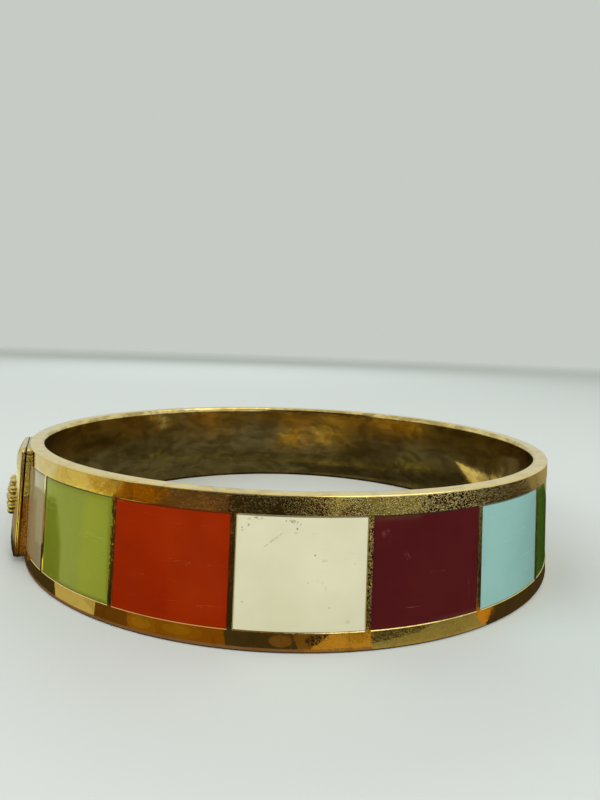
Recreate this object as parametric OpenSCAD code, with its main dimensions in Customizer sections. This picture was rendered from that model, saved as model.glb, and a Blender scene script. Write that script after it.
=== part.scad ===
// Round hard bangle: a gilt band with enamelled cells, a plaque and a beaded rosette.
// Millimetres. +Z runs along the wrist, the origin is the centre of the wrist opening, and -Y is the front.

/* [Band] */
// Inside diameter of the wrist opening
inner_d = 62.6; // [56:0.2:72]
// Height of the band, along the wrist
band_h = 12.8; // [12:0.1:18]
// Thickness of the band's wall
wall_t = 1.7; // [1.4:0.1:2.4]
// Rounding of the rims' outer edges
outer_round = 0.25; // [0.1:0.05:0.4]
// Rounding of the rims' inner edges
inner_round = 0.35; // [0.1:0.05:0.5]

/* [Enamel] */
// Number of cells round the band
cells = 18; // [12:1:24]
// Width of the metal border above and below the cells
border_w = 1.7; // [1.2:0.1:2.4]
// Width of the metal wall between two cells
cell_wall = 0.5; // [0.3:0.05:0.8]
// Depth of a cell's pocket
pocket_depth = 0.8; // [0.5:0.05:0.9]
// How far the enamel lies below the band's outer face
enamel_recess = 0.06; // [0.03:0.01:0.2]

/* [Plaque] */
// Turn of the plaque from the front, clockwise seen from above
plaque_turn = 67.7; // [0:0.1:180]
// Width of the plaque round the band
plaque_w = 8.6; // [7:0.1:10]
// Height of the plaque along the wrist
plaque_h = 12.1; // [10:0.1:12.1]
// How far the plaque's middle lies above the band's middle
plaque_rise = 0.25; // [-0.25:0.05:0.25]
// Corner radius of the plaque
plaque_corner = 0.8; // [0.4:0.1:2]
// Distance of the slab's face from the band's outer face
plaque_proud = 0.56; // [0.5:0.02:1.2]
// Lean of the plaque's face, its foot outwards
plaque_lean = 1.2; // [0:0.1:2]
// Height of the cushion's crest above the slab
cushion_h = 0.82; // [0.5:0.02:1]
// Height of the cushion's edges above the slab
cushion_edge_h = 0.14; // [0.1:0.02:0.3]
// Radius with which the cushion falls away at its upper and lower end
cushion_end_round = 2.5; // [1:0.1:4]
// How far the cushion lies inside the slab's outline
cushion_inset = 0.06; // [0.02:0.01:0.3]

/* [Rosette] */
// Diameter of the rosette
rosette_d = 4.5; // [3:0.1:6]
// Height of the rosette above the cushion's crest
rosette_h = 0.8; // [0.7:0.05:1.2]
// Number of beads in the outer ring
outer_beads = 12; // [8:1:14]
// Number of beads in the inner ring
inner_beads = 6; // [5:1:7]

/* [Fit] */
// Gap between two pieces that are set together
gap = 0.02; // [0.01:0.01:0.05]

/* [Hidden] */
$fn = 180;
inner_r = inner_d / 2;
outer_r = inner_r + wall_t;
cell_pitch = 360 / cells;
cell_h = band_h - 2 * border_w;
pocket_r = outer_r - pocket_depth;
enamel_r = outer_r - enamel_recess;
front_turn = -90;
plaque_angle = front_turn - plaque_turn;
wall_turn = asin(cell_wall / 2 / outer_r);
plaque_side_turn = asin((plaque_w / 2 + gap) / outer_r);
gap_turn = asin(gap / outer_r);
face_r = outer_r + plaque_proud;
slab_depth = 3;
cushion_w = plaque_w - 2 * cushion_inset;
cushion_len = plaque_h - 2 * cushion_inset;
crown_rise = cushion_h - cushion_edge_h;
crown_r = (pow(cushion_w / 2, 2) + pow(crown_rise, 2)) / (2 * crown_rise);
end_fall = sqrt(pow(cushion_end_round, 2) - pow(cushion_end_round - crown_rise, 2));
bead_fn = 32;
bead_overlap = 1.06;
outer_bead_r = bead_overlap * PI * rosette_d / 2 / (outer_beads + bead_overlap * PI);
outer_bead_turn_r = rosette_d / 2 - outer_bead_r;
inner_bead_turn_r = outer_bead_turn_r / 2;
inner_bead_r = inner_bead_turn_r * 0.46;
rosette_foot = 0.3;
rosette_disc_h = rosette_h / 4;
rosette_step_h = rosette_h / 2;
rosette_step_r = inner_bead_turn_r + inner_bead_r / 2;
outer_bead_level = 0.05;
inner_bead_level = rosette_step_h - 0.1;
centre_bead_r = rosette_h - rosette_step_h;

function cell_name(i) = str("enamel_", i < 10 ? "0" : "", i);
function cell_start(i) = (i - 1) * cell_pitch + (i == 1 ? plaque_side_turn : wall_turn);
function cell_end(i) = i * cell_pitch - (i == cells ? plaque_side_turn : wall_turn);

enamel_colours = ["#a08e78", "#8b9432", "#8f2804", "#d8d3b4", "#4a1a1c", "#86b0a6", "#3c5a19"];
function cell_colour(i) = enamel_colours[(i - 1) % len(enamel_colours)];

// Wall section with rounded edges
module band_section() {
    half_h = band_h / 2;
    translate([inner_r + inner_round, -half_h]) square([wall_t - inner_round - outer_round, band_h]);
    translate([inner_r, -half_h + inner_round]) square([wall_t / 2, band_h - 2 * inner_round]);
    translate([outer_r - wall_t / 2, -half_h + outer_round]) square([wall_t / 2, band_h - 2 * outer_round]);
    for (side = [-1, 1]) {
        translate([inner_r + inner_round, side * (half_h - inner_round)]) circle(inner_round);
        translate([outer_r - outer_round, side * (half_h - outer_round)]) circle(outer_round);
    }
}

// Block of a cell, from one radius to another, with its end faces moved in by a turn
module cell_block(i, from_r, to_r, height, end_turn) {
    rotate([0, 0, plaque_angle + cell_start(i) + end_turn])
        rotate_extrude(angle = cell_end(i) - cell_start(i) - 2 * end_turn)
            translate([from_r, -height / 2]) square([to_r - from_r, height]);
}

module band() {
    color("#b88a3a") difference() {
        rotate_extrude() band_section();
        for (i = [1:cells]) cell_block(i, pocket_r, outer_r + wall_t, cell_h, 0);
    }
}

module enamel(i) {
    color(cell_colour(i)) cell_block(i, pocket_r + gap, enamel_r, cell_h - 2 * gap, gap_turn);
}

// Puts a shape that is drawn looking down on the slab's face onto the band
module on_plaque_face() {
    rotate([0, 0, plaque_angle]) translate([face_r, 0, plaque_rise]) rotate([0, 90 - plaque_lean, 0])
        rotate([0, 0, 90]) children();
}

// Plate with rounded corners between two levels, its sides moved in
module plate(inset, from_z, to_z) {
    w = plaque_w - 2 * inset;
    h = plaque_h - 2 * inset;
    r = plaque_corner - inset;
    translate([0, 0, from_z]) linear_extrude(to_z - from_z) {
        square([w - 2 * r, h], center = true);
        square([w, h - 2 * r], center = true);
        for (x = [-1, 1], y = [-1, 1]) translate([x * (w / 2 - r), y * (h / 2 - r)]) circle(r);
    }
}

// Cushion on the slab: crowned across, with ends that fall away
module cushion() {
    intersection() {
        plate(cushion_inset, -gap, cushion_h);
        rotate([90, 0, 0]) linear_extrude(plaque_h, center = true)
            translate([0, cushion_h - crown_r]) circle(crown_r);
        rotate([90, 0, 90]) linear_extrude(plaque_w, center = true) {
            translate([end_fall - cushion_len / 2, -gap]) square([cushion_len - 2 * end_fall, cushion_h + gap]);
            for (side = [-1, 1])
                translate([side * (cushion_len / 2 - end_fall), cushion_h - cushion_end_round])
                    circle(cushion_end_round);
        }
    }
}

module plaque() {
    color("#c29a4c") difference() {
        on_plaque_face() {
            plate(0, -slab_depth, 0);
            cushion();
        }
        cylinder(r = outer_r + gap, h = 2 * band_h, center = true);
    }
}

// Ring of beads whose centres lie on a circle
module bead_ring(count, turn_r, bead_r, level) {
    for (k = [0:count - 1]) rotate([0, 0, k * 360 / count]) translate([turn_r, 0, level])
        sphere(bead_r, $fn = bead_fn);
}

module rosette() {
    color("#c9a860") on_plaque_face() difference() {
        translate([0, 0, cushion_h]) {
            translate([0, 0, -rosette_foot]) cylinder(r = outer_bead_turn_r, h = rosette_foot + rosette_disc_h);
            cylinder(r = rosette_step_r, h = rosette_step_h);
            bead_ring(outer_beads, outer_bead_turn_r, outer_bead_r, outer_bead_level);
            bead_ring(inner_beads, inner_bead_turn_r, inner_bead_r, inner_bead_level);
            translate([0, 0, rosette_h - centre_bead_r]) sphere(centre_bead_r, $fn = bead_fn);
        }
        translate([0, 0, gap]) cushion();
    }
}

band();
plaque();
rosette();
for (i = [1:cells]) enamel(i);
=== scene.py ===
# The enamelled bangle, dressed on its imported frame. Metres, origin at the centre of the wrist opening,
# +Z along the wrist, -Y towards the viewer.
import math

import bpy
from mathutils import Matrix, Vector, noise


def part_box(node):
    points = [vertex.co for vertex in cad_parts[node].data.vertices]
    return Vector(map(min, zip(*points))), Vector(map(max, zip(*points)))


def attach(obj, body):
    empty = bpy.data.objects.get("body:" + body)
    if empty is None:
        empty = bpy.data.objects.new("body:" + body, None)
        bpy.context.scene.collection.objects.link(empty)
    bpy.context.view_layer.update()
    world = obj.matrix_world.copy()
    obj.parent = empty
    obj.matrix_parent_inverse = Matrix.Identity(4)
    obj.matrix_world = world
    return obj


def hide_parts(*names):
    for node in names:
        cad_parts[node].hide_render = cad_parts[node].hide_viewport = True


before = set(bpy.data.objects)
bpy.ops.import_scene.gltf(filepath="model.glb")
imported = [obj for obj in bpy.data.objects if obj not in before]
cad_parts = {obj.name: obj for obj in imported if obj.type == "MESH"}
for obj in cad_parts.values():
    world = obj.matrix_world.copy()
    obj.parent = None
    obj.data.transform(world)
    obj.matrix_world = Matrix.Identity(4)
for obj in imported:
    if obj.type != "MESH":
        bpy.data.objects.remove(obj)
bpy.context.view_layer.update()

MM = 0.001

# Sizes of the solids, in millimetres, as in the part's source. The band's own are read from the frame.
band_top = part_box("band")[1]
OUTER_R = round(band_top.x / MM, 2)
HALF_H = round(band_top.z / MM, 2)
WALL_T = 1.7
INNER_ROUND = 0.35
CELLS = 18
BORDER_W = 1.7
CELL_WALL = 0.5
POCKET_DEPTH = 0.8
ENAMEL_RECESS = 0.06
PLAQUE_TURN = 67.7
PLAQUE_W = 8.6
PLAQUE_H = 12.1
PLAQUE_RISE = 0.25
PLAQUE_CORNER = 0.8
PLAQUE_PROUD = 0.56
PLAQUE_LEAN = 1.2
CUSHION_H = 0.82
CUSHION_EDGE_H = 0.14
CUSHION_END_ROUND = 2.5
CUSHION_INSET = 0.06
ROSETTE_R = 2.25
ROSETTE_H = 0.8
OUTER_BEADS = 12
INNER_BEADS = 6
BEAD_OVERLAP = 1.06
GAP = 0.02

FRONT = -90
INNER_R = OUTER_R - WALL_T
PITCH = 360 / CELLS
HALF_CELL_H = HALF_H - BORDER_W
POCKET_R = OUTER_R - POCKET_DEPTH
ENAMEL_R = OUTER_R - ENAMEL_RECESS
FACE_R = OUTER_R + PLAQUE_PROUD
PLAQUE_ANGLE = FRONT - PLAQUE_TURN
WALL_TURN = math.degrees(math.asin(CELL_WALL / 2 / OUTER_R))
PLAQUE_SIDE_TURN = math.degrees(math.asin((PLAQUE_W / 2 + GAP) / OUTER_R))

FLOOR_Z = -HALF_H
CAMERA_H = 25.03
CAMERA_AT = Vector((0, -79.9, FLOOR_Z + CAMERA_H))


# Camera

def make_camera():
    """The camera of the photograph, worked out from the rim's and the cells' edges."""
    yaw, pitch, roll = (math.radians(a) for a in (0.57, -1.89, 2.10))
    focal_px, long_side_px, drop_px = 567.3, 800, 72.6
    sensor_mm = 36
    ahead = Vector((math.sin(yaw) * math.cos(pitch), math.cos(yaw) * math.cos(pitch), -math.sin(pitch)))
    right = Vector((math.cos(yaw), -math.sin(yaw), 0))
    up = right.cross(ahead)
    x_axis = math.cos(roll) * right + math.sin(roll) * up
    y_axis = math.cos(roll) * up - math.sin(roll) * right
    data = bpy.data.cameras.new("camera")
    data.sensor_width = sensor_mm
    data.lens = focal_px / long_side_px * sensor_mm
    data.shift_y = -drop_px / long_side_px
    data.clip_start = 0.005
    data.clip_end = 50
    camera = bpy.data.objects.new("camera", data)
    turn = Matrix((x_axis, y_axis, -ahead)).transposed().to_4x4()
    camera.matrix_world = Matrix.Translation(CAMERA_AT * MM) @ turn
    bpy.context.scene.collection.objects.link(camera)
    bpy.context.scene.camera = camera


# Mesh helpers

def new_object(name, points, faces, material, sharp=35):
    """A mesh object from points in millimetres, smooth except at edges sharper than an angle."""
    mesh = bpy.data.meshes.new(name)
    mesh.from_pydata([tuple(c * MM for c in p) for p in points], [], faces)
    mesh.validate()
    mesh.polygons.foreach_set("use_smooth", [True] * len(mesh.polygons))
    mesh.set_sharp_from_angle(angle=math.radians(sharp))
    mesh.materials.append(material)
    made = bpy.data.objects.new(name, mesh)
    bpy.context.scene.collection.objects.link(made)
    return made


def turned(angle, radius, z):
    """The point at an angle, a distance from the ring's axis and a height."""
    a = math.radians(angle)
    return (radius * math.cos(a), radius * math.sin(a), z)


def spread(start, end, count):
    """count numbers from start to end, both included."""
    return [start + (end - start) * k / (count - 1) for k in range(count)]


def arc(centre, radius, start, end, steps):
    """Points (r, z) on an arc of a section."""
    return [
        (centre[0] + radius * math.cos(math.radians(a)), centre[1] + radius * math.sin(math.radians(a)))
        for a in spread(start, end, steps + 1)
    ]


def wrap_map(mesh, name, seam_angle):
    """A map of the surface in millimetres: the way round the ring, and the height."""
    layer = mesh.uv_layers.new(name=name)
    for face in mesh.polygons:
        turns = []
        for i in face.loop_indices:
            p = mesh.vertices[mesh.loops[i].vertex_index].co
            turns.append((math.degrees(math.atan2(p.y, p.x)) - seam_angle) % 360)
        wraps = max(turns) - min(turns) > 180
        for i, turn in zip(face.loop_indices, turns):
            p = mesh.vertices[mesh.loops[i].vertex_index].co
            turn += 360 if wraps and turn < 180 else 0
            layer.uv[i].vector = (math.radians(turn) * OUTER_R, p.z / MM)


# Band

def cell_turns(i):
    """Start and end angle of cell i's pocket."""
    start = PLAQUE_ANGLE + (i - 1) * PITCH + (PLAQUE_SIDE_TURN if i == 1 else WALL_TURN)
    end = PLAQUE_ANGLE + i * PITCH - (PLAQUE_SIDE_TURN if i == CELLS else WALL_TURN)
    return start, end


BEVEL = 0.055
BEVEL_DROP = 0.047
WALL_BEVEL = 0.025
CRISP_ROUND = 0.15
FOOT_ROUND = 0.25
SOFT_INNER = 0.75
WALL_SLOPE = 0.012


def ring_lines():
    """Angles of the ring's sections, each with how deep its pocket is: 0 on metal, 1 at the bevel's foot and
    2 in the pocket."""
    plaque_steps, cell_steps = 6, 18
    bevel_turn = math.degrees(WALL_BEVEL / OUTER_R)
    slope_turn = math.degrees(WALL_SLOPE / OUTER_R)
    lines = []
    for i in range(1, CELLS + 1):
        start, end = cell_turns(i)
        if i == 1:
            lines += [(a, 0) for a in spread(PLAQUE_ANGLE, start - bevel_turn, plaque_steps)[:-1]]
        lines += [(start - bevel_turn, 0), (start, 1), (start + slope_turn, 2)]
        lines += [(a, 2) for a in spread(start + slope_turn, end - slope_turn, cell_steps)[1:-1]]
        lines += [(end - slope_turn, 2), (end, 1), (end + bevel_turn, 0)]
        if i < CELLS:
            lines += [(PLAQUE_ANGLE + i * PITCH, 0)]
        else:
            lines += [(a, 0) for a in spread(end + bevel_turn, PLAQUE_ANGLE + 360, plaque_steps)[1:-1]]
    return lines


def border_lines(rounding):
    """Heights of a border's rows from the rounded edge to the pocket, with how deep the pocket is. Rows next
    to the edges keep the face between them flat."""
    edge = HALF_CELL_H + BEVEL
    rim = HALF_H - rounding
    rows = [(z, 0) for z in (rim - 0.03, rim - 0.12, (rim + edge) / 2, edge + 0.1, edge)]
    return rows + [(HALF_CELL_H, 1), (HALF_CELL_H - WALL_SLOPE, 2)]


def height_lines():
    """Heights of the outer face's rows from top to bottom, with how deep the pocket is."""
    pocket_top, pocket_steps = HALF_CELL_H - WALL_SLOPE, 8
    inside = [(z, 2) for z in spread(pocket_top, -pocket_top, pocket_steps)[1:-1]]
    lowest = [(-z, depth) for z, depth in reversed(border_lines(FOOT_ROUND))]
    return border_lines(CRISP_ROUND) + inside + lowest


def make_band(material):
    """The ring: a section at each angle, set back where it crosses a pocket. Rows beside the rounded edges
    keep the faces between them flat."""
    depth_of = (0, BEVEL_DROP, OUTER_R - POCKET_R)
    rows = height_lines()
    brim = HALF_H - SOFT_INNER
    middle_r = 32.2
    beside_outer, beside_inner = 0.05, 0.06
    crest_r, foot_r = OUTER_R - CRISP_ROUND, OUTER_R - FOOT_ROUND
    brim_r = INNER_R + INNER_ROUND
    inner = [(r, brim + (z - HALF_H + INNER_ROUND) * SOFT_INNER / INNER_ROUND)
             for r, z in arc((brim_r, HALF_H - INNER_ROUND), INNER_ROUND, 180, 90, 12)]
    crest = arc((crest_r, HALF_H - CRISP_ROUND), CRISP_ROUND, 0, 90, 8)
    fixed = [(r, -z) for r, z in arc((foot_r, HALF_H - FOOT_ROUND), FOOT_ROUND, 0, 90, 8)]
    fixed += [(r, -HALF_H) for r in (foot_r - beside_outer, middle_r, brim_r + beside_inner)]
    fixed += [(r, -z) for r, z in reversed(inner)]
    fixed += [(INNER_R, z) for z in (0.08 - brim, -4, -2, 0, 2, 4, brim - 0.08)]
    fixed += inner
    fixed += [(r, HALF_H) for r in (brim_r + beside_inner, middle_r, crest_r - beside_outer)]
    fixed += reversed(crest)
    points = []
    for angle, inside in ring_lines():
        section = [(OUTER_R - depth_of[min(inside, depth)], z) for z, depth in rows] + fixed
        points += [turned(angle, r, z) for r, z in section]
    count = len(rows) + len(fixed)
    sections = len(points) // count
    faces = []
    for s in range(sections):
        a, b = s * count, (s + 1) % sections * count
        for k in range(count):
            n = (k + 1) % count
            faces.append((a + k, a + n, b + n, b + k))
    made = new_object("band_metal", points, faces, material)
    wrap_map(made.data, "around", PLAQUE_ANGLE)
    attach(made, "root")
    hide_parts("band")


# Enamel

EDGE_ROLL = 0.05
EDGE_DROP = 0.02
WAVE_H = 0.010


def edge_fall(distance):
    """How far the enamel's surface falls at a distance from its edge."""
    if distance >= EDGE_ROLL:
        return 0
    return EDGE_DROP * (1 - math.sqrt(1 - (1 - distance / EDGE_ROLL) ** 2))


def make_enamel(i, material):
    """One inlay: a slightly uneven glassy face that rolls off at its edges, and plain sides and back."""
    start, end = cell_turns(i)
    gap_turn = math.degrees(GAP / OUTER_R)
    start, end = start + gap_turn, end - gap_turn
    width = math.radians(end - start) * ENAMEL_R
    half_h = HALF_CELL_H - GAP
    roll = [EDGE_ROLL * share for share in (0, 0.03, 0.12, 0.3, 0.55, 0.8, 1)]
    across = roll + spread(EDGE_ROLL, width - EDGE_ROLL, 20)[1:-1] + [width - d for d in reversed(roll)]
    along = [d - half_h for d in roll + spread(EDGE_ROLL, 2 * half_h - EDGE_ROLL, 16)[1:-1]]
    along += [half_h - d for d in reversed(roll)]
    back_r = POCKET_R + GAP
    points = []
    for x in across:
        angle = start + (end - start) * x / width
        for z in along:
            fall = max(edge_fall(min(x, width - x)), edge_fall(half_h - abs(z)))
            wave = WAVE_H * noise.noise(Vector((angle * 0.12, z * 0.22, i * 3.7)))
            points.append(turned(angle, ENAMEL_R - fall - abs(wave), z))
    rows, columns = len(along), len(across)
    front = len(points)
    for x in across:
        angle = start + (end - start) * x / width
        points += [turned(angle, back_r, -half_h), turned(angle, back_r, half_h)]
    faces = []
    for c in range(columns - 1):
        for r in range(rows - 1):
            a, b = c * rows + r, (c + 1) * rows + r
            faces.append((a, b, b + 1, a + 1))
        low, high = front + 2 * c, front + 2 * c + 1
        faces.append((low, high, high + 2, low + 2))
        faces.append((c * rows, low, low + 2, (c + 1) * rows))
        faces.append((high, c * rows + rows - 1, (c + 2) * rows - 1, high + 2))
    last = (columns - 1) * rows
    faces.append([front, *range(rows), front + 1])
    faces.append([front + 2 * columns - 1, *range(last + rows - 1, last - 1, -1), front + 2 * columns - 2])
    name = f"enamel_{i:02d}"
    made = new_object(name + "_inlay", points, faces, material, 60)
    wrap_map(made.data, "around", PLAQUE_ANGLE)
    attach(made, "root")
    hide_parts(name)


# Plaque and rosette

EDGE_LINE = 0.10
STRIPE = 0.26
SIDE_STEP = 0.03
CREASE = 0.03
GROOVE = 0.08
GROOVE_W = 0.08


def plaque_frame():
    """Matrix of the slab's face: x across it, y up, z outwards, in millimetres."""
    place = Matrix.Rotation(math.radians(PLAQUE_ANGLE), 4, "Z") @ Matrix.Translation((FACE_R, 0, PLAQUE_RISE))
    tilt = Matrix.Rotation(math.radians(90 - PLAQUE_LEAN), 4, "Y")
    return place @ tilt @ Matrix.Rotation(math.radians(90), 4, "Z")


def outline(inset):
    """Points of the plaque's outline, moved in by inset, counter-clockwise from the right side."""
    corner_steps, side_steps, least_corner = 10, 8, 0.15
    corner = max(PLAQUE_CORNER - inset, least_corner)
    x, y = PLAQUE_W / 2 - inset - corner, PLAQUE_H / 2 - inset - corner
    found = []
    for turn, cx, cy, (along_x, along_y) in ((0, x, y, (-1, 0)), (90, -x, y, (0, -1)),
                                             (180, -x, -y, (1, 0)), (270, x, -y, (0, 1))):
        found += [(cx + px, cy + py) for px, py in arc((0, 0), corner, turn, turn + 90, corner_steps)]
        step = 2 * (x if along_x else y) / side_steps
        from_x, from_y = found[-1]
        found += [(from_x + along_x * step * k, from_y + along_y * step * k) for k in range(1, side_steps)]
    return found


def cushion_level(x, y):
    """Level of the cushion's face above the slab: crowned across, with ends that fall away."""
    rise = CUSHION_H - CUSHION_EDGE_H
    half_w = PLAQUE_W / 2 - CUSHION_INSET
    crown_r = (half_w ** 2 + rise ** 2) / (2 * rise)
    end_fall = math.sqrt(CUSHION_END_ROUND ** 2 - (CUSHION_END_ROUND - rise) ** 2)
    past = max(0.0, abs(y) - (PLAQUE_H / 2 - CUSHION_INSET - end_fall))
    crowned = CUSHION_H - crown_r + math.sqrt(crown_r ** 2 - x ** 2)
    ended = CUSHION_H - CUSHION_END_ROUND + math.sqrt(CUSHION_END_ROUND ** 2 - past ** 2)
    return -CREASE * math.log(math.exp(-crowned / CREASE) + math.exp(-ended / CREASE))


def plaque_rings():
    """Rings of the plaque's points from the middle of its face to the slab's foot."""
    rings = []
    for inset in (4.2, 3.7, 3.1, 2.5, 1.95, 1.45, 1.0, 0.65, 0.4, 0.24, 0.14, 0.085):
        rings.append([(x, y, cushion_level(x, y)) for x, y in outline(inset)])
    levels = [(CUSHION_INSET, CUSHION_EDGE_H - 0.05), (CUSHION_INSET, 0.02), (CUSHION_INSET + 0.02, 0.0)]
    levels += [(EDGE_LINE, 0.0)]
    for a in spread(0, math.pi / 2, 6)[1:]:
        levels.append((EDGE_LINE * (1 - math.sin(a)), -EDGE_LINE * (1 - math.cos(a))))
    groove_foot = STRIPE + GROOVE_W
    levels += [(0.0, -STRIPE), (GROOVE, -STRIPE - 0.01)]
    levels += [(GROOVE, 0.01 - groove_foot), (SIDE_STEP, -groove_foot)]
    return rings + [[(x, y, level) for x, y in outline(inset)] for inset, level in levels]


def make_plaque(material):
    to_ring = plaque_frame()
    rings = [[to_ring @ Vector(p) for p in ring] for ring in plaque_rings()]
    seat_r = OUTER_R - 0.03
    down = (to_ring.to_3x3() @ Vector((0, 0, -1))).normalized()
    seat = []
    for p in rings[-1]:
        # How far down the plaque's axis the point meets the band
        a = down.x ** 2 + down.y ** 2
        b = p.x * down.x + p.y * down.y
        c = p.x ** 2 + p.y ** 2 - seat_r ** 2
        seat.append(p + down * ((-b - math.sqrt(b * b - a * c)) / a))
    rings += [[p.lerp(q, share) for p, q in zip(rings[-1], seat)] for share in (0.5, 1.0)]
    count = len(rings[0])
    points = [tuple(p) for ring in rings for p in ring]
    faces = [tuple(range(count))]
    for k in range(len(rings) - 1):
        for j in range(count):
            n = (j + 1) % count
            faces.append((k * count + j, (k + 1) * count + j, (k + 1) * count + n, k * count + n))
    centre = len(points)
    points.append(turned(PLAQUE_ANGLE, seat_r, PLAQUE_RISE))
    last = (len(rings) - 1) * count
    faces += [(centre, last + (j + 1) % count, last + j) for j in range(count)]
    made = new_object("plaque_metal", points, faces, material, 50)
    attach(made, "root")
    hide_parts("plaque")


class Shell:
    """Points and faces of several closed shapes that make one piece."""

    def __init__(self):
        self.points = []
        self.faces = []

    def lathe(self, profile, steps):
        """Turns a profile of (radius, level) from the axis to the axis."""
        first = len(self.points)
        self.points += [(0, 0, profile[0][1]), (0, 0, profile[-1][1])]
        rings = []
        for radius, level in profile[1:-1]:
            rings.append(len(self.points))
            for s in range(steps):
                a = 2 * math.pi * s / steps
                self.points.append((radius * math.cos(a), radius * math.sin(a), level))
        for s in range(steps):
            n = (s + 1) % steps
            self.faces.append((first, rings[0] + n, rings[0] + s))
            for low, high in zip(rings, rings[1:]):
                self.faces.append((low + s, low + n, high + n, high + s))
            self.faces.append((first + 1, rings[-1] + s, rings[-1] + n))

    def bead(self, x, y, level, radius, steps=20):
        """Adds a ball with its centre at a place."""
        start = len(self.points)
        profile = [(0, -radius)]
        profile += [(radius * math.cos(math.radians(a)), radius * math.sin(math.radians(a)))
                    for a in spread(-90, 90, steps // 2 + 2)[1:-1]]
        profile += [(0, radius)]
        self.lathe(profile, steps)
        self.points[start:] = [(px + x, py + y, pz + level) for px, py, pz in self.points[start:]]


def disc_profile(foot, radius, top):
    """Profile of a low disc with a softened upper edge."""
    edge = [(radius, top - 0.08), (radius - 0.03, top - 0.02), (radius - 0.08, top)]
    return [(0, foot), (radius, foot), *edge, (0, top)]


def make_rosette(material):
    """Two low discs and two rings of beads round a middle one, their feet in the cushion's face."""
    outer_bead_r = BEAD_OVERLAP * math.pi * ROSETTE_R / (OUTER_BEADS + BEAD_OVERLAP * math.pi)
    turn_r = ROSETTE_R - outer_bead_r
    inner_turn_r = turn_r / 2
    inner_bead_r = inner_turn_r * 0.46
    foot, disc_h, step_h = 0.25, ROSETTE_H / 4, ROSETTE_H / 2
    centre_r = ROSETTE_H - step_h
    step_r = inner_turn_r + inner_bead_r / 2
    shell = Shell()
    shell.lathe(disc_profile(-foot, turn_r, disc_h), 48)
    shell.lathe(disc_profile(0, step_r, step_h), 40)
    for count, radius, bead_r, level in ((OUTER_BEADS, turn_r, outer_bead_r, 0.05),
                                         (INNER_BEADS, inner_turn_r, inner_bead_r, step_h - 0.1)):
        for k in range(count):
            a = 2 * math.pi * k / count
            shell.bead(radius * math.cos(a), radius * math.sin(a), level, bead_r)
    shell.bead(0, 0, ROSETTE_H - centre_r, centre_r, 24)
    place = plaque_frame() @ Matrix.Translation((0, 0, CUSHION_H))
    points = [tuple(place @ Vector(p)) for p in shell.points]
    made = new_object("rosette_beads", points, shell.faces, material, 50)
    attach(made, "root")
    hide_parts("rosette")


# Node helpers

def put(tree, kind, inputs=None, **settings):
    """Adds a node. An input is a number or colour, or the socket that feeds it."""
    made = tree.nodes.new("ShaderNode" + kind)
    for key, value in settings.items():
        setattr(made, key, value)
    for key, value in (inputs or {}).items():
        if isinstance(value, bpy.types.NodeSocket):
            tree.links.new(value, made.inputs[key])
        else:
            made.inputs[key].default_value = value
    return made


def empty_tree(owner):
    """The node tree of a material or a world, with its nodes cleared."""
    owner.use_nodes = True
    owner.node_tree.nodes.clear()
    return owner.node_tree


def maths(tree, operation, a, b=0.0):
    return put(tree, "Math", {0: a, 1: b}, operation=operation).outputs[0]


def times(tree, a, b):
    return maths(tree, "MULTIPLY", a, b)


def plus(tree, a, b):
    return maths(tree, "ADD", a, b)


def minus(tree, a, b):
    return maths(tree, "SUBTRACT", a, b)


def remap(tree, value, low, high, new_low=0.0, new_high=1.0):
    """A smooth step between two values, from new_low to new_high."""
    inputs = {"Value": value, "From Min": low, "From Max": high, "To Min": new_low, "To Max": new_high}
    return put(tree, "MapRange", inputs, interpolation_type="SMOOTHSTEP").outputs["Result"]


def blend_colours(tree, share, a, b):
    return put(tree, "Mix", {0: share, 6: a, 7: b}, data_type="RGBA").outputs[2]


def linear(red, green, blue):
    """A display colour of 0 to 255 as a shader's colour."""
    found = []
    for c in (red, green, blue):
        c /= 255
        found.append(c / 12.92 if c <= 0.04045 else ((c + 0.055) / 1.055) ** 2.4)
    return (*found, 1.0)


def new_material(name):
    made = bpy.data.materials.new(name)
    tree = empty_tree(made)
    shader = put(tree, "BsdfPrincipled")
    out = put(tree, "OutputMaterial", {"Surface": shader.outputs["BSDF"]})
    out.is_active_output = True
    return made, tree, shader


def place_mm(tree):
    """The place on the object in millimetres."""
    at = put(tree, "TexCoord").outputs["Object"]
    return put(tree, "VectorMath", {0: at, "Scale": 1 / MM}, operation="SCALE").outputs[0]


def level_of(tree, at):
    """The height of a place."""
    return put(tree, "SeparateXYZ", {"Vector": at}).outputs["Z"]


def cloud(tree, at, scale, detail=3.0, rough=0.5, warp=0.0):
    inputs = {"Vector": at, "Scale": scale, "Detail": detail, "Roughness": rough, "Distortion": warp}
    return put(tree, "TexNoise", inputs).outputs["Fac"]


def hairlines(tree, at, turn, thin, seed, share):
    """Thin broken lines on the surface map, at an angle; 1 on a line."""
    inputs = {"Vector": at, "Location": (seed, seed * 0.7, 0), "Rotation": (0, 0, math.radians(turn)),
              "Scale": (0.16, thin, 1.0)}
    moved = put(tree, "Mapping", inputs).outputs[0]
    streak = cloud(tree, moved, 1.0, 1.0, 0.4, 0.25)
    line = remap(tree, maths(tree, "ABSOLUTE", minus(tree, streak, 0.5)), 0.0, 0.012, 1.0, 0.0)
    breaks = cloud(tree, moved, 0.55, 2.0)
    return times(tree, line, remap(tree, breaks, 1 - share, 1.07 - share))


def curls(tree, at, scale, thin, share):
    """Short curled scratches; 1 on a scratch."""
    wander = cloud(tree, at, scale, 2.0, 0.55, 1.2)
    line = remap(tree, maths(tree, "ABSOLUTE", minus(tree, wander, 0.5)), 0.0, thin, 1.0, 0.0)
    breaks = cloud(tree, at, 1.3 * scale, 1.0)
    return times(tree, line, remap(tree, breaks, 0.94 - share, 1.06 - share))


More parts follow.
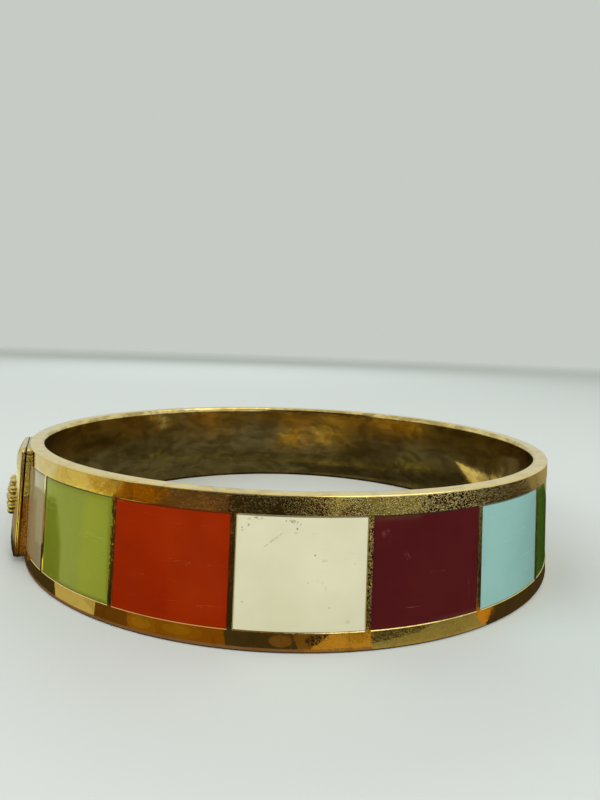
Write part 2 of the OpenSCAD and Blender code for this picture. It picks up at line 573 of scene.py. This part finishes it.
def spot(tree, around, turn, z, half_length, half_width, lean=0.0):
    """A soft oval on the surface map, at a turn from the front and a height; 1 in its middle."""
    along = math.radians(FRONT + turn - PLAQUE_ANGLE) * OUTER_R
    inputs = {"Vector": around, "Location": (along, z, 0), "Rotation": (0, 0, math.radians(lean)),
              "Scale": (half_length, half_width, 1.0)}
    moved = put(tree, "Mapping", inputs, vector_type="TEXTURE").outputs[0]
    far = put(tree, "VectorMath", {0: moved}, operation="LENGTH").outputs["Value"]
    return remap(tree, far, 0.45, 1.0, 1.0, 0.0)


def pits(tree, at, scale, size_scale, size_low, largest, edge):
    """Small round pits of different sizes; 1 in a pit."""
    far = put(tree, "TexVoronoi", {"Vector": at, "Scale": scale, "Randomness": 1.0}).outputs["Distance"]
    size = remap(tree, cloud(tree, at, size_scale, 1.0), size_low, 0.75, 0.0, largest)
    return remap(tree, minus(tree, far, size), 0.0, edge, 1.0, 0.0)


def feed_shader(tree, shader, tone, roughness, height, strength):
    """Feeds a shader its colour, its roughness and a bump from heights in millimetres."""
    bump = put(tree, "Bump", {"Height": height, "Strength": strength, "Distance": MM}).outputs[0]
    for name, socket in (("Base Color", tone), ("Roughness", roughness), ("Normal", bump)):
        tree.links.new(socket, shader.inputs[name])


# Materials

SPOT_TURN = -10.8
SPOT_Z = 5.4
SPOT_TONE = (0.78, 0.31, 0.08, 1)
# Tone of the painted shade in the plaque's side groove.
GROOVE_SHADE = (0.012, 0.008, 0.004, 1)


def gilt_wear(tree, at, inside, least_worn):
    """How worn the gilt is: most in front, right of the middle, and least inside the ring, at its foot and on
    its rim."""
    place = put(tree, "SeparateXYZ", {"Vector": at}).outputs
    worn = remap(tree, cloud(tree, at, 0.22, 3.0, 0.6), 0.36, 0.6, 0.6, 1.0)
    for along, start, end, before, after in (
        (place["X"], -1.0, 5.0, 0.10, 1.0),
        (place["X"], -13.0, -7.0, 0.3, 1.0),
        (place["X"], 13.0, 18.5, 1.0, 0.35),
        (place["Z"], -5.5, 0.0, 0.3, 1.0),
        (inside, 0.0, 1.0, 1.0, 0.06),
        (place["Z"], 6.1, 6.35, 1.0, 0.1),
    ):
        worn = times(tree, worn, remap(tree, along, start, end, before, after))
    return maths(tree, "MAXIMUM", worn, least_worn)


def side_groove(tree, at, tone, worn, way, level):
    """Smoother metal beyond a level along a way, and a painted line of shade in the groove just round it,
    fainter towards the bottom.
    """
    far = put(tree, "VectorMath", {0: at, 1: way}, operation="DOT_PRODUCT").outputs["Value"]
    worn = times(tree, worn, remap(tree, far, level - 0.03, level + 0.03, 1.0, 0.15))
    # Painted shade: a dark line in the groove round the level, fainter lower down.
    painted_shade = remap(tree, far, level - 0.09, level - 0.06)
    painted_shade = times(tree, painted_shade, remap(tree, far, level + 0.07, level + 0.10, 1.0, 0.0))
    painted_shade = times(tree, painted_shade, remap(tree, level_of(tree, at), -4.5, 0.5, 0.6, 1.0))
    return blend_colours(tree, painted_shade, tone, GROOVE_SHADE), worn


def gilt(name, pale, deep, rough, sand, least_worn, tarnish, smooth_above=None):
    """Polished gilt: a tone that drifts, orange peel, pits, smears, and blotches inside the ring. Where it is
    worn it has curled scratches, or an even grain if sand gives the size of one."""
    made, tree, shader = new_material(name)
    at = place_mm(tree)
    around = put(tree, "UVMap", uv_map="around").outputs[0]
    flat = put(tree, "VectorMath", {0: at, 1: (1, 1, 0)}, operation="MULTIPLY").outputs[0]
    radius = put(tree, "VectorMath", {0: flat}, operation="LENGTH").outputs["Value"]
    inside = remap(tree, radius, INNER_R + 0.2, INNER_R + 0.6, 1.0, 0.0)
    drift = remap(tree, cloud(tree, at, 0.14, 2.0, 0.5, 0.4), 0.35, 0.68)
    tone = blend_colours(tree, drift, pale, deep)
    worn = gilt_wear(tree, at, inside, least_worn)
    # On the plaque: smoother metal past the groove, and a painted line of shade in it.
    if smooth_above:
        tone, worn = side_groove(tree, at, tone, worn, *smooth_above)
    if sand:
        grain, depth = cloud(tree, at, 1 / sand, 3.0, 0.7, 0.4), 0.10
        dark = remap(tree, grain, 0.48, 0.60)
    else:
        grain, depth = curls(tree, at, 3.7, 0.09, 0.56), 0.026
        dark = minus(tree, 0.7, grain)
    peel = cloud(tree, at, 0.55, 2.0, 0.5)
    smears = cloud(tree, at, 0.45, 4.0, 0.6, 0.9)
    pit = pits(tree, at, 0.8, 1.1, 0.48, 0.09, 0.03)
    flattened = put(tree, "Mapping", {"Vector": around, "Scale": (0.24, 0.55, 1.0)}).outputs[0]
    dull = times(tree, remap(tree, cloud(tree, flattened, 1.0, 4.0, 0.6, 0.5), 0.40, 0.62), inside)
    for share in (
        times(tree, times(tree, dark, worn), 0.65),
        remap(tree, smears, 0.45, 0.72, 0.0, 0.28),
        times(tree, pit, 0.7),
        times(tree, dull, 0.5),
    ):
        tone = blend_colours(tree, share, tone, tarnish)
    hole = spot(tree, around, SPOT_TURN, SPOT_Z - 0.02, 0.2, 0.11)
    ring = minus(tree, spot(tree, around, SPOT_TURN, SPOT_Z, 0.8, 0.36), hole)
    tone = blend_colours(tree, times(tree, ring, 0.8), tone, SPOT_TONE)
    shader.inputs["Metallic"].default_value = 1.0
    roughness = plus(tree, rough, remap(tree, smears, 0.5, 0.8, 0.0, 0.07))
    for place, share in ((ring, 0.24), (worn, 0.03), (inside, 0.07)):
        roughness = plus(tree, roughness, times(tree, place, share))
    height = times(tree, times(tree, grain, worn), depth)
    height = plus(tree, height, times(tree, peel, 0.022))
    height = plus(tree, height, times(tree, times(tree, peel, inside), 0.008))
    height = minus(tree, height, times(tree, pit, 0.01))
    feed_shader(tree, shader, tone, roughness, height, 1.0)
    return made


# Painted shade: a dark line along each inlay's upper edge stands in for the shade of the metal lip over it.
# Its width, its strength and its tone.
EDGE_SHADE_LINE = 0.15
EDGE_SHADE_SHARE = 0.75
EDGE_SHADE_TONE = linear(40, 26, 8)


def enamel(name, colour, second, speck, speck_share, scratch, scratch_share, seed):
    """Glassy enamel with faint clouding, fine scratches, small pits or specks, spots of wear, and a dark line
    of painted shade along its upper edge, where the metal lip above would shade it."""
    made, tree, shader = new_material(name)
    at = place_mm(tree)
    around = put(tree, "UVMap", uv_map="around").outputs[0]
    clouding = remap(tree, cloud(tree, at, 0.16, 3.0, 0.55), 0.3, 0.7)
    tone = blend_colours(tree, clouding, linear(*colour), linear(*second))
    crowd = remap(tree, cloud(tree, at, 0.3, 2.0), 1 - speck_share, 1.12 - speck_share)
    pit = times(tree, pits(tree, at, 1.5, 1.7, 0.42, 0.15, 0.04), crowd)
    lines = hairlines(tree, around, 47, 4.0, seed, scratch_share)
    tone = blend_colours(tree, times(tree, pit, 0.75), tone, linear(*speck))
    tone = blend_colours(tree, times(tree, lines, 0.30), tone, linear(*scratch))
    for turn, z, half_length, half_width, lean, scale, strength in WEAR.get(name, ()):
        crumbs = remap(tree, cloud(tree, at, scale, 3.0, 0.6), 0.44, 0.58)
        mark = times(tree, spot(tree, around, turn, z, half_length, half_width, lean), crumbs)
        tone = blend_colours(tree, times(tree, mark, strength), tone, linear(*scratch))
    # Painted shade under the metal lip: the enamel darkens towards its upper edge.
    painted_shade = remap(tree, level_of(tree, at), HALF_CELL_H - EDGE_SHADE_LINE, HALF_CELL_H - GAP - EDGE_ROLL)
    tone = blend_colours(tree, times(tree, painted_shade, EDGE_SHADE_SHARE), tone, EDGE_SHADE_TONE)
    shader.inputs["Specular IOR Level"].default_value = 0.5
    shader.inputs["IOR"].default_value = 1.5
    smears = remap(tree, cloud(tree, at, 0.5, 3.0, 0.6), 0.35, 0.75, 0.08, 0.15)
    roughness = plus(tree, smears, times(tree, maths(tree, "MAXIMUM", lines, pit), 0.25))
    height = times(tree, cloud(tree, at, 0.7, 2.0, 0.5), 0.012)
    height = minus(tree, height, times(tree, pit, 0.01))
    height = minus(tree, height, times(tree, lines, 0.003))
    feed_shader(tree, shader, tone, roughness, height, 0.6)
    return made


# Colour, second tone, specks, how many specks, scratches, how many scratches
ENAMELS = {
    "enamel_taupe": ((152, 138, 104), (146, 132, 98), (90, 74, 52), 0.40, (190, 178, 156), 0.36),
    "enamel_lime": ((113, 121, 31), (107, 114, 27), (72, 76, 16), 0.38, (150, 158, 70), 0.44),
    "enamel_red": ((140, 34, 0), (131, 29, 0), (84, 18, 2), 0.40, (168, 66, 30), 0.44),
    "enamel_cream": ((208, 203, 174), (200, 194, 164), (112, 106, 82), 0.60, (146, 140, 112), 0.42),
    "enamel_burgundy": ((76, 21, 23), (70, 18, 21), (128, 88, 86), 0.38, (130, 84, 84), 0.38),
    "enamel_blue": ((141, 181, 175), (134, 174, 168), (84, 112, 104), 0.42, (168, 204, 196), 0.42),
    "enamel_green": ((57, 93, 17), (52, 86, 16), (30, 44, 10), 0.38, (100, 132, 60), 0.40),
}

# Where the enamel is rubbed: turn from the front, height, half length, half width, lean, fineness, strength
WEAR = {
    "enamel_cream": (
        (-4.4, 4.4, 0.95, 0.18, 8, 3.6, 1.0),
        (-5.6, 3.85, 0.22, 0.2, 0, 4.0, 0.8),
        (-6.3, 3.35, 0.2, 0.14, 0, 4.0, 0.5),
        (1.0, 4.25, 0.5, 0.22, -12, 3.4, 0.9),
        (1.3, 3.35, 0.24, 0.22, 0, 4.0, 0.5),
        (-1.9, 2.7, 1.25, 0.1, 38, 1.3, 0.7),
        (5.6, 1.1, 0.35, 0.25, 30, 2.6, 0.35),
        (5.2, -0.9, 0.5, 0.8, 30, 2.0, 0.25),
        (9.3, -3.9, 0.3, 0.2, 0, 3.0, 0.4),
    ),
    "enamel_burgundy": (
        (14.6, 3.2, 0.6, 0.4, 30, 1.9, 0.2),
        (18.2, 1.2, 0.75, 0.28, -62, 1.9, 0.3),
        (30.0, -2.4, 0.2, 1.1, 4, 2.2, 0.18),
    ),
}


# Stage

def make_floor():
    """A pale floor that fades into the backdrop's colour far away."""
    steps, radius_m = 96, 3.0
    fade_from_m, fade_to_m = 0.25, 1.6
    points = [(0, 0, FLOOR_Z)] + [turned(360 * k / steps, radius_m / MM, FLOOR_Z) for k in range(steps)]
    faces = [(0, 1 + k, 1 + (k + 1) % steps) for k in range(steps)]
    made = bpy.data.materials.new("floor_pale")
    tree = empty_tree(made)
    at = put(tree, "TexCoord").outputs["Object"]
    far = put(tree, "VectorMath", {0: at}, operation="LENGTH").outputs["Value"]
    fade = remap(tree, far, fade_from_m, fade_to_m)
    surface = put(tree, "BsdfDiffuse", {"Color": (0.57, 0.59, 0.58, 1)}).outputs[0]
    clear = put(tree, "BsdfTransparent").outputs[0]
    both = put(tree, "MixShader", {0: fade, 1: surface, 2: clear}).outputs[0]
    put(tree, "OutputMaterial", {"Surface": both})
    new_object("floor", points, faces, made)


def glow(name, colour, strength):
    made = bpy.data.materials.new(name)
    tree = empty_tree(made)
    light = put(tree, "Emission", {"Color": colour, "Strength": strength}).outputs[0]
    put(tree, "OutputMaterial", {"Surface": light})
    return made


def only_in_reflections(made):
    for ray in ("camera", "diffuse", "shadow", "transmission", "volume_scatter"):
        setattr(made, "visible_" + ray, False)


def sector(start, end, near, far, lean=0):
    """Corners of a ring's sector on the floor, its far arc turned by lean. Angles run from the front,
    counter-clockwise seen from above."""
    angles = spread(FRONT + start, FRONT + end, 2 + int((end - start) / 4))
    return [turned(a, near, 0)[:2] for a in angles] + [turned(a + lean, far, 0)[:2] for a in reversed(angles)]


def disc(radius):
    return [turned(a, radius, 0)[:2] for a in range(0, 360, 5)]


def mirrored(turn, z):
    """The place on the floor that is seen mirrored in the band, at a turn from the front and a height."""
    outwards = Vector(turned(FRONT + turn, 1, 0))
    at = Vector(turned(FRONT + turn, OUTER_R, z))
    ray = at - CAMERA_AT
    ray -= 2 * ray.dot(outwards) * outwards
    return tuple((at + ray * (FLOOR_Z - z) / ray.z)[:2])


PATCH_STEPS = 6
BLOB_STEPS = 16
FOOT_STEPS = 20
# Heights of the borders' edges, upper edge first
UPPER_BORDER = (HALF_H, 4.64)
LOWER_BORDER = (-4.66, -6.39)


def patch(*corners):
    """Outline of a card that shows in the band as a patch with these corners, each a turn and a height."""
    found = []
    for (turn, z), (next_turn, next_z) in zip(corners, corners[1:] + corners[:1]):
        for k in range(PATCH_STEPS):
            share = k / PATCH_STEPS
            found.append(mirrored(turn + (next_turn - turn) * share, z + (next_z - z) * share))
    return found


def blob(turn, z, half_turn, half_z):
    """Outline of a card that shows in the band as a round patch."""
    around = [2 * math.pi * k / BLOB_STEPS for k in range(BLOB_STEPS)]
    return [mirrored(turn + half_turn * math.cos(a), z + half_z * math.sin(a)) for a in around]


def upper(left_high, right_high, left_low, right_low):
    """A patch over the whole height of the upper border."""
    high, low = UPPER_BORDER
    return patch((left_high, high), (right_high, high), (right_low, low), (left_low, low))


def lower(left_high, right_high, left_low, right_low):
    """A patch over the whole height of the lower border."""
    high, low = LOWER_BORDER
    return patch((left_high, high), (right_high, high), (right_low, low), (left_low, low))


def foot(start, end):
    """A card under the band that shows in the rounding of its foot, between two turns from the front."""
    turns = spread(start, end, FOOT_STEPS)
    near = [turned(FRONT + turn, OUTER_R - 0.3, 0)[:2] for turn in reversed(turns)]
    return [mirrored(turn, FOOT_ROUND - HALF_H) for turn in turns] + near


# Tones of what the gilt mirrors
PALE = (0.62, 0.62, 0.46)
STRAW = (0.60, 0.52, 0.22)
HAY = (0.47, 0.40, 0.165)
OCHRE = (0.42, 0.29, 0.06)
HONEY = (0.33, 0.18, 0.015)
TAN = (0.18, 0.11, 0.075)
AMBER = (0.27, 0.105, 0.003)
BRONZE = (0.185, 0.068, 0.003)
HAZEL = (0.15, 0.078, 0.018)
RUSSET = (0.12, 0.05, 0.006)
UMBER = (0.113, 0.058, 0.022)
BARK = (0.05, 0.035, 0.014)
OLIVE = (0.062, 0.052, 0.025)
MOSS = (0.41, 0.41, 0.16)
SAGE = (0.25, 0.22, 0.09)
SHADE = (0.026, 0.019, 0.009)
DIM = (0.30, 0.25, 0.15)

# What the polished surfaces mirror on the floor and inside the ring: corners in millimetres, and tone
CARDS = (
    ("all_round", disc(180), SHADE),
    ("behind", sector(112, 272, 33.3, 180), HAY),
    ("inside", disc(31), (0.082, 0.076, 0.048)),
    ("inside_front", [turned(a, 31, 0)[:2] for a in spread(180, 360, 30)], (0.095, 0.097, 0.08)),
    ("inside_murk", [(-18, -24), (-9, -4), (-5, 6), (2, 14), (16, 14), (18, 20), (12, 26), (4, 29), (0, 21),
                     (-10, 12), (-22, 9), (-30, 3), (-26, -14)], (0.038, 0.033, 0.02)),
    ("inside_amber", [(25, -12), (21, -20), (21, 0), (20, 7), (23, 3)], (0.165, 0.095, 0.028)),
    ("inside_honey", [(0, -1), (4, -6), (0, -25), (-9, -16)], (0.34, 0.21, 0.03)),
    ("inside_hazel", [(7, -11), (4, -11), (26, -12), (28, -6)], (0.25, 0.17, 0.03)),
    ("inside_gold", [(3, -16.5), (-3, -20.5), (-12, -18.5), (-16.5, -8), (-14, -6), (-8, -11)],
     (0.86, 0.64, 0.09)),
    ("inside_rose", [(-2, -20), (-7, -19), (-5, -7), (-2, -7)], (0.22, 0.11, 0.04)),
    ("inside_moss", [(-3, 15), (-4, 16), (2, 19.5), (6, 19)], (0.20, 0.19, 0.06)),
    ("inside_wedge", [(25, 15.6, 0), (25, 13.4, -1), (25, 12.3, -2), (25, 12.3, -3.6), (25, 13.7, -3.2)],
     (0.62, 0.56, 0.28)),
    ("inside_dusk", [(29, 2, 3), (29, 6.9, 3), (29, 6.9, -3), (29, 2, -3)], (0.085, 0.07, 0.035)),
    ("left_dim", sector(-130, -66, 38, 60), DIM),
    ("left_pale", sector(-130, -84, 60, 100), PALE),
    ("left_straw", sector(-86, -60, 62, 100, 3), STRAW),
    ("lime_glare", patch((-47.1, 4.5), (-34, 4.5), (-35, -4.6), (-47.1, -4.6)), (0.95, 1.05, 0.34)),
    ("lime_warm", patch((-34.5, 4.5), (-28.4, 4.5), (-28.4, -4.6), (-35.5, -4.6)), (1.4, 1.38, 0.26)),
    ("left_sheen", patch((-66, 4.6), (-48, 4.6), (-48, 3.0), (-66, 2.8)), (0.85, 0.95, 0.75)),
    ("lime_dark", patch((-47.2, 2.5), (-45, 3.0), (-43.3, 2.9), (-42.3, 2.0), (-41.0, -1), (-40.8, -4.6),
                        (-47.4, -4.6)), SHADE),
    ("red_glow", patch((-19, 4.3), (-9.0, 4.3), (-9.0, -4.3), (-17, -4.3)), (0.24, 0.10, 0.02)),
    ("upper_ochre", upper(-34.2, -24, -32.2, -26), OCHRE),
    ("upper_amber", upper(-25.2, -14, -27.9, -14), AMBER),
    ("upper_umber", upper(-16.5, -7, -21, -8), UMBER),
    ("upper_bark", upper(-8.6, 2, -8.8, 3), SHADE),
    ("upper_olive", upper(0.5, 8, 1.5, 8), BARK),
    ("upper_moss", upper(5.5, 21, 6.5, 20), MOSS),
    ("upper_russet", patch((8.0, 5.3), (11.5, 5.4), (12.0, 4.6), (7.6, 4.6)), UMBER),
    ("upper_dim", upper(21.5, 31, 20.5, 30), SHADE),
    ("upper_dark", upper(30, 47, 29, 48.6), BARK),
    ("upper_straw", upper(46.2, 64, 48.5, 64), (0.37, 0.29, 0.12)),
    ("lower_left", lower(-64, -41, -64, -41), BARK),
    ("lower_hay", lower(-42.1, -30, -41.3, -30), HAY),
    ("lower_smear", patch((-34, -4.8), (-30.9, -4.7), (-31, -5.7), (-32.8, -5.4)), (0.39, 0.33, 0.13)),
    ("lower_russet", lower(-30.5, -23, -30.9, -23), RUSSET),
    ("lower_amber", lower(-24.3, -8, -24, -7.8), BRONZE),
    ("lower_honey", blob(-21.3, -5.5, 2.9, 0.8), (0.225, 0.098, 0.006)),
    ("lower_honey_core", blob(-21.6, -5.45, 1.7, 0.5), (0.265, 0.13, 0.01)),
    ("lower_syrup", blob(-15.4, -5.45, 3.8, 0.7), (0.205, 0.084, 0.004)),
    ("lower_syrup_core", blob(-15.8, -5.4, 2.3, 0.42), (0.235, 0.11, 0.005)),
    ("lower_bark", lower(-8.7, 3, -8.1, 2), BARK),
    ("lower_blob", blob(-0.3, -5.5, 1.7, 0.5), (0.14, 0.075, 0.022)),
    ("lower_hazel", lower(1.2, 7, 2.4, 7), HAZEL),
    ("lower_gold", lower(7.0, 12.8, 3.4, 13), (0.47, 0.255, 0.037)),
    ("lower_copper", blob(10.8, -5.3, 1.5, 0.5), HONEY),
    ("lower_shade", patch((3.1, -5.4), (4.0, -5.05), (6.6, -4.9), (5.6, -5.5), (4.7, -5.85), (3.6, -5.8)),
     SHADE),
    ("lower_sage", lower(12.8, 34, 13, 34), SAGE),
    ("lower_moss", patch((12.8, -4.66), (24.2, -4.66), (20.6, -5.35), (17.8, -5.6), (12.8, -5.9)), OLIVE),
    ("lower_spark", lower(31.2, 36.2, 33.3, 34.4), (0.50, 0.235, 0.03)),
    ("lower_end", lower(36.0, 62, 34.2, 62), BARK),
    ("foot_left", foot(-62, 3), TAN),
    ("foot_middle", foot(3, 13), (0.27, 0.14, 0.05)),
    ("foot_right", foot(13, 34), (0.30, 0.25, 0.12)),
    ("foot_end", foot(34, 50), BARK),
)


CARD_LEVEL = 0.01
CARD_STEP = 0.003

# Cards in the air over the floor: height, corners in millimetres, and tone
AIR_CARDS = (
    ("card_rose", 95, ((-165, -62), (-112, -92), (-66, -110), (-40, -115), (-38, -86), (-58, -81), (-98, -67),
                       (-140, -45)), (0.70, 0.36, 0.24)),
    ("card_dusk", 95, ((-37, -115), (23, -118), (23, -90), (-36, -87)), (0.16, 0.12, 0.04)),
)
# Corners of the card beside the plaque, on the slab's face: across, up and outwards
BESIDE_PLAQUE = ((4.8, -6.15, -0.86), (4.8, -6.15, 0.4), (4.8, 0.4, 0.4), (4.8, 0.4, -0.86))


def make_card(name, corners, colour, level=0):
    """A flat card that only reflections see. Corners without a height of their own lie just over the
    floor."""
    points = [c if len(c) == 3 else (*c, FLOOR_Z + level) for c in corners]
    only_in_reflections(new_object(name, points, [tuple(range(len(points)))], glow(name, (*colour, 1), 1.0)))


def make_area_light(name, place, aim, size, power, colour):
    """A rectangular light that reflections don't see, in metres and watts."""
    data = bpy.data.lights.new(name, "AREA")
    data.shape = "RECTANGLE"
    data.size, data.size_y = size
    data.energy = power
    data.color = colour
    made = bpy.data.objects.new(name, data)
    made.location = place
    made.rotation_mode = "QUATERNION"
    made.rotation_quaternion = (Vector(aim) - Vector(place)).to_track_quat("-Z", "Y")
    made.visible_glossy = False
    bpy.context.scene.collection.objects.link(made)


def make_panel(name, left, right, side_line, colour, strength):
    """A bent panel in the air that only reflections see, between two x, along a line of (y, z)."""
    points = [(x, y, z) for y, z in side_line for x in (left, right)]
    faces = [(2 * k, 2 * k + 1, 2 * k + 3, 2 * k + 2) for k in range(len(side_line) - 1)]
    only_in_reflections(new_object(name, points, faces, glow(name, (*colour, 1), strength)))


def make_world():
    """Soft light from all round. Reflections see a tone of their own that brightens above the horizon."""
    world = bpy.data.worlds.new("studio")
    tree = empty_tree(world)
    way = put(tree, "TexCoord").outputs["Generated"]
    wall = put(tree, "Background", {"Color": (0.565, 0.604, 0.558, 1), "Strength": 1.0}).outputs[0]
    rise = remap(tree, level_of(tree, way), 0.0, 0.30)
    tone = blend_colours(tree, rise, (0.58, 0.60, 0.54, 1), (0.68, 0.69, 0.57, 1))
    reflected = put(tree, "Background", {"Color": tone, "Strength": 1.0}).outputs[0]
    glossy = put(tree, "LightPath").outputs["Is Glossy Ray"]
    both = put(tree, "MixShader", {0: glossy, 1: wall, 2: reflected}).outputs[0]
    put(tree, "OutputWorld", {"Surface": both})
    bpy.context.scene.world = world


# Lights: place, what they aim at, size, power and colour
LIGHTS = (
    ("key_light", (0.20, -0.38, 0.36), (0, -0.02, 0), (0.34, 0.34), 2.0, (1.0, 1.0, 0.985)),
    ("fill_light", (-0.36, -0.24, 0.26), (0, -0.02, 0), (0.30, 0.30), 0.9, (1.0, 1.0, 0.985)),
    ("back_light", (-0.10, 0.50, 0.35), (0, 0, 0), (0.50, 0.30), 1.2, (0.95, 0.98, 1.0)),
)


def make_studio():
    bpy.context.scene.view_settings.view_transform = "Standard"
    make_world()
    make_floor()
    for light in LIGHTS:
        make_area_light(*light)
    make_panel("lamp", 55, 430, ((-260, 280), (-130, 400), (130, 420)), (1.0, 0.97, 0.78), 1.7)
    make_panel("shade", -155, 35, ((-110, 5), (-112, 75)), (0.03, 0.025, 0.015), 1.0)
    for k, (name, corners, colour) in enumerate(CARDS):
        make_card("card_" + name, corners, colour, CARD_LEVEL + CARD_STEP * k)
    slab_face = plaque_frame()
    make_card("card_beside_plaque", [tuple(slab_face @ Vector(p)) for p in BESIDE_PLAQUE], BRONZE)
    for name, height, corners, colour in AIR_CARDS:
        make_card(name, [(x, y, height) for x, y in corners], colour)


def make_metal():
    """The band, the plaque and the rosette, each of its own gilt."""
    slab_face = plaque_frame()
    outwards = (slab_face.to_3x3() @ Vector((0, 0, 1))).normalized()
    stripe_level = outwards.dot(slab_face.translation) - STRIPE
    make_band(gilt("gilt_band", (0.94, 0.77, 0.37, 1), (0.91, 0.71, 0.29, 1), rough=0.06, sand=0,
                   least_worn=0.0, tarnish=(0.22, 0.13, 0.03, 1)))
    make_plaque(gilt("gilt_plaque", (0.92, 0.76, 0.38, 1), (0.86, 0.66, 0.28, 1), rough=0.12, sand=0.2,
                     least_worn=1.0, tarnish=(0.08, 0.05, 0.02, 1), smooth_above=(outwards, stripe_level)))
    make_rosette(gilt("gilt_rosette", (0.93, 0.79, 0.44, 1), (0.86, 0.68, 0.30, 1), rough=0.2, sand=0.16,
                      least_worn=0.4, tarnish=(0.2, 0.12, 0.03, 1)))


def make_inlays():
    """The enamel of every cell. The colours come round in turn."""
    seed_step = 5.3
    materials = [enamel(slot, *looks, seed_step * k) for k, (slot, looks) in enumerate(ENAMELS.items())]
    for i in range(1, CELLS + 1):
        k = (i - 1) % len(materials)
        make_enamel(i, materials[k])


make_camera()
make_studio()
make_metal()
make_inlays()
